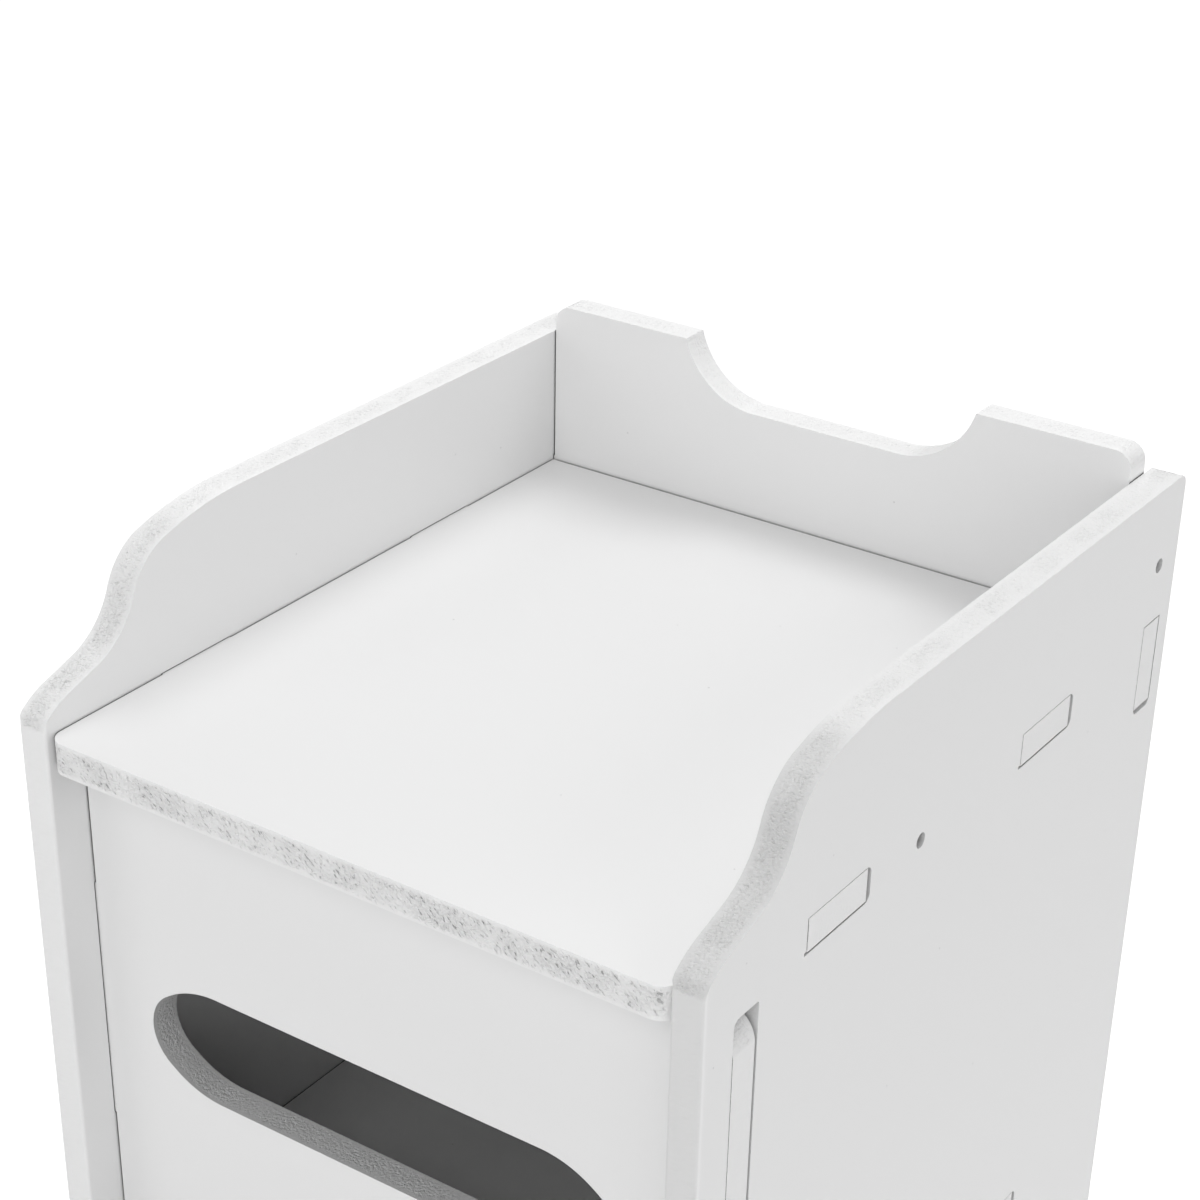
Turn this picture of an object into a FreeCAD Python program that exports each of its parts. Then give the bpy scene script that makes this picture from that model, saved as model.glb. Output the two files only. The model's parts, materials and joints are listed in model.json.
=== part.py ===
import FreeCAD
import Part
import math
import os

from FreeCAD import Vector

# A narrow free-standing bathroom cabinet of routed plastic board.
# All lengths are in millimetres.
# X runs across the cabinet, with the open end of the dispenser slot on the +X side.
# Y runs front to back, with the front at -Y.
# Z is up from the floor.
# The origin is on the floor, under the middle of the space that the cabinet and its knob take.
# The boards are joined dry, by tabs in routed slots.

# Driving dimensions
outer_width = 180.0
body_depth = 205.0
overall_height = 710.0
board = 8.0
tray_back_height = 43.4
tray_side_height = 37.0
roll_bay_height = 135.2
open_bay_height = 160.0
base_height = 40.0

# Clearances
joint_gap = 0.3
overrun = 1.0

# Side panels
ramp_depth = 55.7
crest_fall = 0.8
side_rear_radius = 3.0
foot_length = 42.0
arch_height = 16.0
arch_radius = 14.0

# Outline of the tray wall's front ramp, as shares of ramp_depth and tray_side_height.
# The last share is the corner's radius, of tray_side_height.
ramp_shares = (
    (1.000, 1.000, 2.430),
    (0.600, 0.843, 0.473),
    (0.473, 0.364, 0.600),
    (0.101, 0.188, 0.600),
    (0.000, 0.086, 0.030),
)

# Back panel
back_setback = 5.8
back_corner_radius = 4.5
notch_half_width = 42.0
notch_radius = 21.5
notch_depth = 15.5
back_tab_count = 3
back_tab_rise = 0.9
back_tab_length = 22.2
back_tab_foot = 40.0

# Shelves and their tabs
shelf_front_radius = 4.5
tab_length = 23.2
tab_end_gap = 1.5
tab_under_gap = 0.5
tab_over_gap = 0.15
tab_place_shares = (0.257, 0.738)
slot_corner_radius = 2.0
relief = 0.8

# Empty pilot holes through the side panels
pilot_radius = 1.8
shelf_pilot_share = 0.436
shelf_pilot_drop_share = 0.575
back_pilot_offset = 14.9
back_pilot_share = 0.5

# Dispenser panel and the slots it slides in
panel_setback = 10.9
panel_slot_margin = 1.6
panel_top_gap = 2.2
panel_bottom_gap = 0.6
panel_front_gap = 0.25
panel_rear_gap = 0.85
panel_side_gap = 0.35
panel_end_radius = 7.2
panel_slot_radius = 1.9
panel_slot_small_radius = 0.6
tongue_height = 65.5
tongue_end_radius = 1.5
tongue_gap = 0.4
oval_half_width = 65.5
oval_half_height = 14.8
oval_end_length = 21.5
oval_offset = -1.2
oval_drop = 0.4

# Toe kick board
toe_setback = 14.0
toe_tab_length = 16.0

# Door and its pivots
door_setback = 2.0
door_gap = 1.2
door_pivot_gap = 0.8
pin_radius = 2.0
pin_run_gap = 0.05
pin_door_length = 12.0
pin_shelf_length = 5.5
bush_radius = 3.2
bush_length = 6.0
flange_radius = 4.2
flange_thickness = 0.8
fit_gap = 0.05

# Inner shelf
inner_shelf_gap = 4.0

# Knob, at the door's middle height
knob_reach = 22.0
knob_base_radius = 7.5
knob_neck_radius = 5.0
knob_head_radius = 11.0
knob_edge = 22.0
knob_bore_depth = 10.0
knob_bevel = 1.5
knob_neck_share = 0.2
knob_head_share = 0.66

# Screws: shank radius, head radius and head height
knob_screw_radius = 2.0
small_screw_radius = 1.5
screw_head_ratio = 1.9
screw_head_height_ratio = 1.1
small_screw_length = 7.0

# Magnetic catch under the middle shelf
catch_edge = 34.0
catch_width = 28.0
catch_depth = 14.0
catch_height = 12.0
catch_wall = 2.0
catch_ear = 9.0
magnet_width = 22.0
magnet_thickness = 4.0
pole_thickness = 1.2
pole_reach = 0.8
catch_air_gap = 0.3

# Strike plate on the door
strike_width = 26.0
strike_height = 11.0
strike_thickness = 1.0

# Foot pads
pad_thickness = 2.0
pad_width = 6.4
pad_length = 30.0

# Places worked out from the sizes above
inner_half = outer_width / 2 - board
front = -(body_depth - knob_reach + door_setback) / 2
rear = front + body_depth
back_front = rear - back_setback - board
shelf_rear = back_front - joint_gap
shelf_depth = shelf_rear - front
top_shelf_top = overall_height - tray_back_height
bay_floor_top = top_shelf_top - board - roll_bay_height
middle_shelf_top = bay_floor_top - board - open_bay_height
bottom_shelf_top = base_height + board
door_bottom = bottom_shelf_top + door_gap
door_top = middle_shelf_top - board - door_gap
inner_shelf_top = (bottom_shelf_top + middle_shelf_top) / 2
door_front = front + door_setback
door_rear = door_front + board
pivot_x = -inner_half + door_pivot_gap + board / 2
pivot_y = door_front + board / 2
panel_front = front + panel_setback
bay_middle = bay_floor_top + roll_bay_height / 2
panel_bottom = bay_floor_top + panel_slot_margin + panel_bottom_gap
panel_top = top_shelf_top - board - panel_slot_margin - panel_top_gap
fixed_shelf_tops = (top_shelf_top, bay_floor_top, middle_shelf_top, bottom_shelf_top)
shelf_tops = fixed_shelf_tops + (inner_shelf_top,)


def across_x(x):
    """Lays an outline of (y, z) points in the plane at x."""
    return lambda y, z: Vector(x, y, z)


def across_y(y):
    """Lays an outline of (x, z) points in the plane at y."""
    return lambda x, z: Vector(x, y, z)


def across_z(z):
    """Lays an outline of (x, y) points in the plane at z."""
    return lambda x, y: Vector(x, y, z)


def rounded_wire(corners, lay):
    """Closed wire through (a, b, radius) corners, each rounded as far as half its shorter run allows."""
    ends = []
    count = len(corners)
    for i in range(count):
        before = corners[i - 1]
        here = corners[i]
        after = corners[(i + 1) % count]
        point = Vector(here[0], here[1], 0)
        back = Vector(before[0], before[1], 0) - point
        ahead = Vector(after[0], after[1], 0) - point
        half_turn = (math.pi - back.getAngle(ahead)) / 2
        reach = min(here[2] * math.tan(half_turn), back.Length / 2, ahead.Length / 2)
        if reach <= 0:
            ends.append((point, point, point))
            continue
        back.normalize()
        ahead.normalize()
        inward = (back + ahead).normalize()
        radius = reach / math.tan(half_turn)
        middle = point + inward * (radius / math.cos(half_turn) - radius)
        ends.append((point + back * reach, middle, point + ahead * reach))
    edges = []
    for i in range(count):
        start, middle, stop = [lay(p.x, p.y) for p in ends[i]]
        if not start.isEqual(stop, 1e-6):
            edges.append(Part.Arc(start, middle, stop).toShape())
        nearest = lay(ends[(i + 1) % count][0].x, ends[(i + 1) % count][0].y)
        if not stop.isEqual(nearest, 1e-6):
            edges.append(Part.LineSegment(stop, nearest).toShape())
    return Part.Wire(edges)


def sheet(corners, lay, depth):
    """Solid board: the rounded outline, thickened along depth."""
    return Part.Face(rounded_wire(corners, lay)).extrude(depth)


def rectangle(a0, b0, a1, b1, radius=0.0):
    """Corner list of a rectangle with one radius."""
    return [(a0, b0, radius), (a1, b0, radius), (a1, b1, radius), (a0, b1, radius)]


def stadium(a, b, half_width, half_height):
    """Corner list of a level opening with half-round ends."""
    return rectangle(a - half_width, b - half_height, a + half_width, b + half_height, half_height)


def oval(a, b, half_width, half_height, end_length):
    """Corner list of a level opening with half-elliptic ends: each end is half a stretched octagon."""
    corner_share = math.tan(math.pi / 8)
    straight = half_width - end_length
    quarter = [
        (half_width, half_height * corner_share),
        (straight + end_length * corner_share, half_height),
    ]
    upper = quarter + [(-x, z) for x, z in reversed(quarter)]
    ring = upper + [(-x, -z) for x, z in upper]
    return [(a + x, b + z, half_width) for x, z in ring]


def box(x0, y0, z0, x1, y1, z1):
    """Plain block between two corners."""
    return Part.makeBox(x1 - x0, y1 - y0, z1 - z0, Vector(x0, y0, z0))


def rod(radius, start, along):
    """Round bar from start, as long as along."""
    return Part.makeCylinder(radius, along.Length, start, along)


def save(name, shape):
    """Writes one sub-part."""
    shape.removeSplitter().exportStep(os.path.join("parts", name + ".step"))


def shelf_tab_starts():
    """Front ends of the two tabs on each side of a shelf."""
    return [front + share * shelf_depth - tab_length / 2 for share in tab_place_shares]


def back_tab_tops():
    """Top ends of the back panel's tabs, evenly spaced from the tray down."""
    highest = top_shelf_top + back_tab_rise
    lowest = base_height + back_tab_foot + back_tab_length
    step = (highest - lowest) / (back_tab_count - 1)
    return [highest - step * i for i in range(back_tab_count)]


def toe_tab_bottom():
    """Lower end of the toe kick board's tabs."""
    return (pad_thickness + base_height - toe_tab_length) / 2


def shelf_slot(x, start, top):
    """Cutter for one shelf tab: square at the front with a routed overcut, round at the rear."""
    y0 = start - joint_gap
    y1 = start + tab_length + tab_end_gap
    z0 = top - board - tab_under_gap
    z1 = top + tab_over_gap
    round_end = slot_corner_radius
    outline = [(y0, z0, 0.0), (y1, z0, round_end), (y1, z1, round_end), (y0, z1, 0.0)]
    cutter = sheet(outline, across_x(x - overrun), Vector(board + 2 * overrun, 0, 0))
    return cutter.fuse(box(x - overrun, y0 - relief, z0, x + board + overrun, y0 + relief, z0 + relief))


def upright_slot(x, y0, y1, bottom, top):
    """Cutter for an upright tab: square at the top, round at the bottom."""
    z0 = bottom - tab_end_gap
    z1 = top + joint_gap
    low = y0 - joint_gap
    high = y1 + tab_under_gap
    round_end = slot_corner_radius
    outline = [(low, z0, round_end), (high, z0, round_end), (high, z1, 0.0), (low, z1, 0.0)]
    return sheet(outline, across_x(x - overrun), Vector(board + 2 * overrun, 0, 0))


def side_outline():
    """Outline of a side panel: feet, arch, rear edge, tray wall and ramp."""
    z0 = pad_thickness
    arch_front = front + foot_length
    arch_rear = rear - foot_length
    arch_top = z0 + arch_height
    crest = top_shelf_top + tray_side_height
    corners = [
        (front, z0, 0.0),
        (arch_front, z0, 0.0),
        (arch_front, arch_top, arch_radius),
        (arch_rear, arch_top, arch_radius),
        (arch_rear, z0, 0.0),
        (rear, z0, 0.0),
        (rear, crest - crest_fall, side_rear_radius),
    ]
    for depth_share, height_share, radius_share in ramp_shares:
        y = front + ramp_depth * depth_share
        z = top_shelf_top + tray_side_height * height_share
        corners.append((y, z, tray_side_height * radius_share))
    return corners


def side_panel(x):
    """Side panel with its inner or outer face at x, running to x + board, before its dispenser slot."""
    panel = sheet(side_outline(), across_x(x), Vector(board, 0, 0))
    cutters = []
    through = Vector(board + 2 * overrun, 0, 0)
    pilot_y = front + shelf_pilot_share * shelf_depth
    for top in shelf_tops:
        for start in shelf_tab_starts():
            cutters.append(shelf_slot(x, start, top))
    for top in fixed_shelf_tops:
        place = Vector(x - overrun, pilot_y, top - shelf_pilot_drop_share * board)
        cutters.append(rod(pilot_radius, place, through))
    for top in back_tab_tops():
        cutters.append(upright_slot(x, back_front, back_front + board, top - back_tab_length, top))
        place = Vector(x - overrun, back_front + back_pilot_share * board, top + back_pilot_offset)
        cutters.append(rod(pilot_radius, place, through))
    toe_front = front + toe_setback
    low = toe_tab_bottom()
    cutters.append(upright_slot(x, toe_front, toe_front + board, low, low + toe_tab_length))
    return panel.cut(cutters)


def panel_slot(x, bottom, top, top_radius):
    """Cutter for the dispenser panel: an upright slot through one side, rounder at its front top corner."""
    y0 = panel_front - panel_front_gap
    y1 = panel_front + board + panel_rear_gap
    small = panel_slot_small_radius
    corners = [(y0, bottom, small), (y1, bottom, small), (y1, top, small), (y0, top, top_radius)]
    return sheet(corners, across_x(x - overrun), Vector(board + 2 * overrun, 0, 0))


def left_side_panel():
    """Left side, with the short slot for the dispenser panel's tongue."""
    x = -outer_width / 2
    half_height = tongue_height / 2 + tongue_gap
    slot = panel_slot(x, bay_middle - half_height, bay_middle + half_height, panel_slot_small_radius)
    return side_panel(x).cut(slot)


def right_side_panel():
    """Right side, with the tall slot that the dispenser panel slides out through."""
    x = inner_half
    slot = panel_slot(x, panel_bottom - panel_bottom_gap, panel_top + panel_top_gap, panel_slot_radius)
    return side_panel(x).cut(slot)


def back_panel():
    """Back board with rounded top corners, a notch in its top edge and tabs through both sides."""
    half = inner_half - joint_gap
    top_radius = back_corner_radius
    outline = [
        (-half, base_height, 0.0),
        (half, base_height, 0.0),
        (half, overall_height, top_radius),
        (-half, overall_height, top_radius),
    ]
    thick = Vector(0, board, 0)
    panel = sheet(outline, across_y(back_front), thick)
    tab_half = outer_width / 2
    for top in back_tab_tops():
        low = top - back_tab_length
        panel = panel.fuse(box(-tab_half, back_front, low, tab_half, back_front + board, top))
    notch_middle = overall_height + notch_radius - notch_depth
    notch = stadium(0, notch_middle, notch_half_width, notch_radius)
    return panel.cut(sheet(notch, across_y(back_front - overrun), thick + Vector(0, 2 * overrun, 0)))


def shelf(top, shelf_front, front_radius):
    """Level board between the sides, with two tabs a side."""
    half = inner_half - joint_gap
    outline = [
        (-half, shelf_front, front_radius),
        (half, shelf_front, front_radius),
        (half, shelf_rear, 0.0),
        (-half, shelf_rear, 0.0),
    ]
    z0 = top - board
    level = sheet(outline, across_z(z0), Vector(0, 0, board))
    for start in shelf_tab_starts():
        tab_half = outer_width / 2
        level = level.fuse(box(-tab_half, start, z0, tab_half, start + tab_length, top))
    return level


def bush_hole(mouth, up):
    """Cutter for a pivot bush, from the shelf's face at height mouth, along up (1 or -1)."""
    start = Vector(pivot_x, pivot_y, mouth - up * overrun)
    depth = bush_length + joint_gap + overrun
    return rod(bush_radius + fit_gap, start, Vector(0, 0, up * depth))


def pivot_bush(mouth, up):
    """Flanged bush seated on the shelf's face at height mouth, its body along up."""
    body = rod(bush_radius, Vector(pivot_x, pivot_y, mouth), Vector(0, 0, up * bush_length))
    flange_along = Vector(0, 0, -up * flange_thickness)
    flange = rod(flange_radius, Vector(pivot_x, pivot_y, mouth), flange_along)
    bore_start = Vector(pivot_x, pivot_y, mouth - up * (flange_thickness + overrun))
    bore_along = Vector(0, 0, up * (flange_thickness + bush_length + 2 * overrun))
    return body.fuse(flange).cut(rod(pin_radius + pin_run_gap, bore_start, bore_along))


def pivot_pin(edge, up):
    """Pin from inside the door, across its edge at height edge, into the bush."""
    start = Vector(pivot_x, pivot_y, edge - up * pin_door_length)
    return rod(pin_radius, start, Vector(0, 0, up * (pin_door_length + door_gap + pin_shelf_length)))


def pin_hole(edge, up):
    """Cutter for the pin's hole in the door's edge."""
    start = Vector(pivot_x, pivot_y, edge + up * overrun)
    depth = pin_door_length + joint_gap + overrun
    return rod(pin_radius + fit_gap, start, Vector(0, 0, -up * depth))


def dispenser_panel():
    """Sliding front panel: full height on the right, a half-height tongue on the left, an oval opening."""
    left = -inner_half + panel_side_gap
    right = outer_width / 2
    tongue_bottom = bay_middle - tongue_height / 2
    tongue_top = bay_middle + tongue_height / 2
    outline = [
        (left, panel_bottom, 0.0),
        (right, panel_bottom, panel_end_radius),
        (right, panel_top, panel_end_radius),
        (left, panel_top, 0.0),
        (left, tongue_top, 0.0),
        (-right, tongue_top, tongue_end_radius),
        (-right, tongue_bottom, tongue_end_radius),
        (left, tongue_bottom, 0.0),
    ]
    thick = Vector(0, board, 0)
    panel = sheet(outline, across_y(panel_front), thick)
    oval_middle = bay_middle - oval_drop
    opening = oval(oval_offset, oval_middle, oval_half_width, oval_half_height, oval_end_length)
    return panel.cut(sheet(opening, across_y(panel_front - overrun), thick + Vector(0, 2 * overrun, 0)))


def toe_kick():
    """Low board under the bottom shelf, with one tab a side."""
    y = front + toe_setback
    half = inner_half - joint_gap
    outline = rectangle(-half, pad_thickness, half, base_height - joint_gap)
    kick = sheet(outline, across_y(y), Vector(0, board, 0))
    low = toe_tab_bottom()
    tab_half = outer_width / 2
    return kick.fuse(box(-tab_half, y, low, tab_half, y + board, low + toe_tab_length))


def door():
    """Inset door: full round on its pivot edge, so that it turns clear of the side panel."""
    free_edge = inner_half - door_gap
    height = Vector(0, 0, door_top - door_bottom)
    corners = [
        (pivot_x, door_front, 0.0),
        (free_edge, door_front, 0.0),
        (free_edge, door_rear, 0.0),
        (pivot_x, door_rear, 0.0),
    ]
    leaf = sheet(corners, across_z(door_bottom), height)
    leaf = leaf.fuse(rod(board / 2, Vector(pivot_x, pivot_y, door_bottom), height))
    thick = Vector(0, board + 2 * overrun, 0)
    holes = [pin_hole(door_top, 1), pin_hole(door_bottom, -1)]
    screw_start = Vector(knob_x(), door_front - overrun, knob_z())
    holes.append(rod(knob_screw_radius + fit_gap, screw_start, thick))
    strike_start = Vector(catch_x(), door_rear + overrun, strike_z())
    strike_hole = Vector(0, -small_screw_length - overrun, 0)
    holes.append(rod(small_screw_radius + fit_gap, strike_start, strike_hole))
    return leaf.cut(holes)


def knob_x():
    """Knob's place across the door."""
    return inner_half - knob_edge


def knob_z():
    """Knob's height."""
    return (door_bottom + door_top) / 2


def catch_x():
    """Catch's place across the cabinet."""
    return inner_half - catch_edge


def strike_z():
    """Height of the catch's and the strike plate's middle."""
    return middle_shelf_top - board - catch_wall - (catch_height - catch_wall) / 2


def door_knob():
    """Turned knob: a waist that flares to the foot and to the head, with a blind bore for its screw."""
    bore_radius = knob_screw_radius + fit_gap
    bevel_radius = knob_head_radius - knob_bevel
    profile = [
        (bore_radius, 0),
        (knob_base_radius, 0),
        (knob_neck_radius, -knob_reach * knob_neck_share),
        (knob_head_radius, -knob_reach * knob_head_share),
        (knob_head_radius, -knob_reach + knob_bevel),
        (bevel_radius, -knob_reach),
        (0, -knob_reach),
        (0, -knob_bore_depth),
        (bore_radius, -knob_bore_depth),
    ]
    points = [Vector(r, y, 0) for r, y in profile]
    half = Part.Face(Part.makePolygon(points + points[:1]))
    turned = half.revolve(Vector(0, 0, 0), Vector(0, 1, 0), 360)
    turned.translate(Vector(knob_x(), door_front, knob_z()))
    return turned


def screw(radius, length, seat, along):
    """Screw with its head on seat and its shank along the unit vector along."""
    shank = rod(radius, seat, along * length)
    head = rod(radius * screw_head_ratio, seat, along * -(radius * screw_head_height_ratio))
    return shank.fuse(head)


def catch_case():
    """Catch housing: a block open at the front, with an ear for a screw on each side."""
    x = catch_x()
    roof = middle_shelf_top - board
    y0 = catch_front()
    y1 = y0 + catch_depth
    half = catch_width / 2
    body = box(x - half, y0, roof - catch_height, x + half, y1, roof)
    ears = sheet(
        rectangle(x - half - catch_ear, y0, x + half + catch_ear, y1, catch_wall),
        across_z(roof - catch_wall),
        Vector(0, 0, catch_wall),
    )
    case = body.fuse(ears)
    pocket_half = magnet_width / 2 + fit_gap
    pocket_height = magnet_thickness / 2 + pole_thickness + fit_gap
    pocket_rear = y1 - catch_wall
    z = strike_z()
    mouth = y0 - overrun
    low = z - pocket_height
    high = z + pocket_height
    cutters = [box(x - pocket_half, mouth, low, x + pocket_half, pocket_rear, high)]
    for place in catch_screw_places():
        hole_start = place - Vector(0, 0, overrun)
        cutters.append(rod(small_screw_radius + fit_gap, hole_start, Vector(0, 0, catch_wall + 2 * overrun)))
    return case.cut(cutters)


def catch_front():
    """Front face of the catch housing."""
    return door_rear + strike_thickness + catch_air_gap + pole_reach


def catch_screw_places():
    """Seats of the two catch screws, under the ears."""
    x = catch_x()
    reach = (catch_width + catch_ear) / 2
    y = catch_front() + catch_depth / 2
    z = middle_shelf_top - board - catch_wall
    return [Vector(x + side * reach, y, z) for side in (-1, 1)]


def catch_magnet():
    """Magnet block between the pole plates."""
    x = catch_x()
    z = strike_z()
    half = magnet_width / 2
    y0 = catch_front()
    y1 = y0 + catch_depth - catch_wall
    return box(x - half, y0, z - magnet_thickness / 2, x + half, y1, z + magnet_thickness / 2)


def catch_poles():
    """Two steel plates, above and below the magnet, that reach out to the strike plate."""
    x = catch_x()
    half = magnet_width / 2
    y0 = catch_front() - pole_reach
    y1 = catch_front() + catch_depth - catch_wall
    plates = []
    for low in (strike_z() + magnet_thickness / 2, strike_z() - magnet_thickness / 2 - pole_thickness):
        plates.append(box(x - half, y0, low, x + half, y1, low + pole_thickness))
    return Part.makeCompound(plates)


def strike_plate():
    """Steel plate on the door's inner face, held by one screw."""
    x = catch_x()
    z = strike_z()
    half = strike_width / 2
    seat_y = door_rear + strike_thickness
    plate = box(x - half, door_rear, z - strike_height / 2, x + half, seat_y, z + strike_height / 2)
    hole_start = Vector(x, door_rear - overrun, z)
    hole = rod(small_screw_radius + fit_gap, hole_start, Vector(0, strike_thickness + 2 * overrun, 0))
    seat = Vector(x, seat_y, z)
    return plate.cut([hole, sunk_head(small_screw_radius, strike_thickness, seat, fit_gap)])


def sunk_head(radius, sink, seat, gap):
    """Cone of a flush screw head that faces +Y at seat: it narrows from radius + sink to radius."""
    wide = radius + sink + gap
    return Part.makeCone(wide, radius + gap, sink, seat, Vector(0, -1, 0))


def strike_screw():
    """Flush screw through the strike plate into the door."""
    seat = Vector(catch_x(), door_rear + strike_thickness, strike_z())
    shank = rod(small_screw_radius, seat, Vector(0, -small_screw_length, 0))
    return shank.fuse(sunk_head(small_screw_radius, strike_thickness - fit_gap, seat, 0))


def foot_pad(x, y):
    """Soft pad under one foot of a side panel, centred at x, y."""
    half_width = pad_width / 2
    half_length = pad_length / 2
    return box(x - half_width, y - half_length, 0, x + half_width, y + half_length, pad_thickness)


def main():
    """Builds and saves every sub-part."""
    os.makedirs("parts", exist_ok=True)
    roof = middle_shelf_top - board
    save("left_side_panel", left_side_panel())
    save("right_side_panel", right_side_panel())
    save("back_panel", back_panel())
    save("top_shelf", shelf(top_shelf_top, front, shelf_front_radius))
    save("bay_floor", shelf(bay_floor_top, front, shelf_front_radius))
    middle = shelf(middle_shelf_top, front, shelf_front_radius).cut(bush_hole(roof, 1))
    for place in catch_screw_places():
        hole_start = place + Vector(0, 0, catch_wall - overrun)
        depth = small_screw_length - catch_wall + joint_gap + overrun
        middle = middle.cut(rod(small_screw_radius + fit_gap, hole_start, Vector(0, 0, depth)))
    save("middle_shelf", middle)
    save("inner_shelf", shelf(inner_shelf_top, door_rear + inner_shelf_gap, shelf_front_radius))
    bottom = shelf(bottom_shelf_top, front, shelf_front_radius).cut(bush_hole(bottom_shelf_top, -1))
    save("bottom_shelf", bottom)
    save("toe_kick", toe_kick())
    save("dispenser_panel", dispenser_panel())
    save("door", door())
    save("upper_pivot_pin", pivot_pin(door_top, 1))
    save("lower_pivot_pin", pivot_pin(door_bottom, -1))
    save("upper_pivot_bush", pivot_bush(roof, 1))
    save("lower_pivot_bush", pivot_bush(bottom_shelf_top, -1))
    save("door_knob", door_knob())
    knob_screw_length = board + knob_bore_depth - joint_gap
    knob_seat = Vector(knob_x(), door_rear, knob_z())
    save("knob_screw", screw(knob_screw_radius, knob_screw_length, knob_seat, Vector(0, -1, 0)))
    save("catch_case", catch_case())
    save("catch_magnet", catch_magnet())
    save("catch_pole_plates", catch_poles())
    up = Vector(0, 0, 1)
    screws = [screw(small_screw_radius, small_screw_length, place, up) for place in catch_screw_places()]
    save("catch_screws", Part.makeCompound(screws))
    save("strike_plate", strike_plate())
    save("strike_screw", strike_screw())
    foot_x = (outer_width - board) / 2
    for side_name, side in (("left", -1), ("right", 1)):
        for end_name, y in (("front", front + foot_length / 2), ("rear", rear - foot_length / 2)):
            save(end_name + "_" + side_name + "_foot_pad", foot_pad(side * foot_x, y))


main()
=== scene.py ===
# %% [markdown]
# # A narrow white bathroom cabinet
#
# The real cabinet is routed from sheets of foamed PVC, eight millimetres thick, and put together dry: tabs on
# the shelves and the back pass through slots in the two sides. The front of the upper bay is a board with an
# oval opening that slides out sideways. This lesson dresses the solids of the cabinet: it gives every board its
# eased edges, its satin faces and its torn, routed edges, and turns the small parts of the door.
#
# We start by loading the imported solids. They are a fixed frame: they tell us where everything is, so no size is
# typed twice.

import json
import math

import bmesh
import bpy
import numpy as np
from mathutils import Matrix, Vector
from mathutils.geometry import tessellate_polygon


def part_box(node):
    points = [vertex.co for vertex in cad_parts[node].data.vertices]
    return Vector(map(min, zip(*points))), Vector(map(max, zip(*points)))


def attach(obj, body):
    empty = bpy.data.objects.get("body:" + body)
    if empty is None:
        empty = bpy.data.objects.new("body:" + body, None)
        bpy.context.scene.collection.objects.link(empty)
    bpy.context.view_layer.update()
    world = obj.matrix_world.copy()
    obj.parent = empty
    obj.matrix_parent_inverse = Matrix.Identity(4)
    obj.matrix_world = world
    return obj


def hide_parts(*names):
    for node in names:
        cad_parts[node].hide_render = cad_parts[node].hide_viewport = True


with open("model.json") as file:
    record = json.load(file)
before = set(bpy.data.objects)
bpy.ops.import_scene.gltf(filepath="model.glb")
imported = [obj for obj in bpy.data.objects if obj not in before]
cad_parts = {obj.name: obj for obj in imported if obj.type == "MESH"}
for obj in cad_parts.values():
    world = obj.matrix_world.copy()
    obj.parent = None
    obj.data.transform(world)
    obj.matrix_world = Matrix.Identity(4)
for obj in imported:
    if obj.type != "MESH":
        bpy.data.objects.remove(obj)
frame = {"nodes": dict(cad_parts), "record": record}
nodes = frame["nodes"]
bodies = frame["record"]["behaviour"]["bodies"]
body_of_node = {name: body for body, names in bodies.items() for name in names}
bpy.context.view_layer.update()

# %% [markdown]
# ## Small helpers
#
# Sizes on the real thing are in millimetres and Blender's are in metres, so one name, MM, turns one into the
# other. Colours are written as the hex values that a picture shows, and one function turns them into the linear
# values that a shader needs. One more function adds a shader node with its settings and its links, which keeps
# each material short enough to read.

# %% Units, colours and shader nodes
MM = 0.001


def linear(hex_colour):
    """sRGB hex to linear RGBA: a channel c under 0.04045 is c / 12.92, any other ((c + 0.055) / 1.055) ^ 2.4."""
    channels = [int(hex_colour[i:i + 2], 16) / 255 for i in (1, 3, 5)]
    return [c / 12.92 if c < 0.04045 else ((c + 0.055) / 1.055) ** 2.4 for c in channels] + [1.0]


def add_node(tree, kind, settings=None, inputs=None):
    """Adds a shader node, sets its properties, then sets each input or links it to a socket or a node's first."""
    made = tree.nodes.new(kind)
    for key, value in (settings or {}).items():
        setattr(made, key, value)
    for key, value in (inputs or {}).items():
        value = value.outputs[0] if isinstance(value, bpy.types.Node) else value
        if isinstance(value, bpy.types.NodeSocket):
            tree.links.new(value, made.inputs[key])
        else:
            made.inputs[key].default_value = value
    return made


def new_material(name):
    """An empty node material and its output node."""
    material = bpy.data.materials.new(name)
    material.use_nodes = True
    material.node_tree.nodes.clear()
    output = material.node_tree.nodes.new("ShaderNodeOutputMaterial")
    return material, material.node_tree, output


def dress(piece, *node_names):
    """Puts a piece in its nodes' place: the same body, and the solids themselves no longer show."""
    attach(piece, body_of_node[node_names[0]])
    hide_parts(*node_names)
    return piece


print("white board", [round(c, 3) for c in linear("#F1F1F1")])
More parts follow.
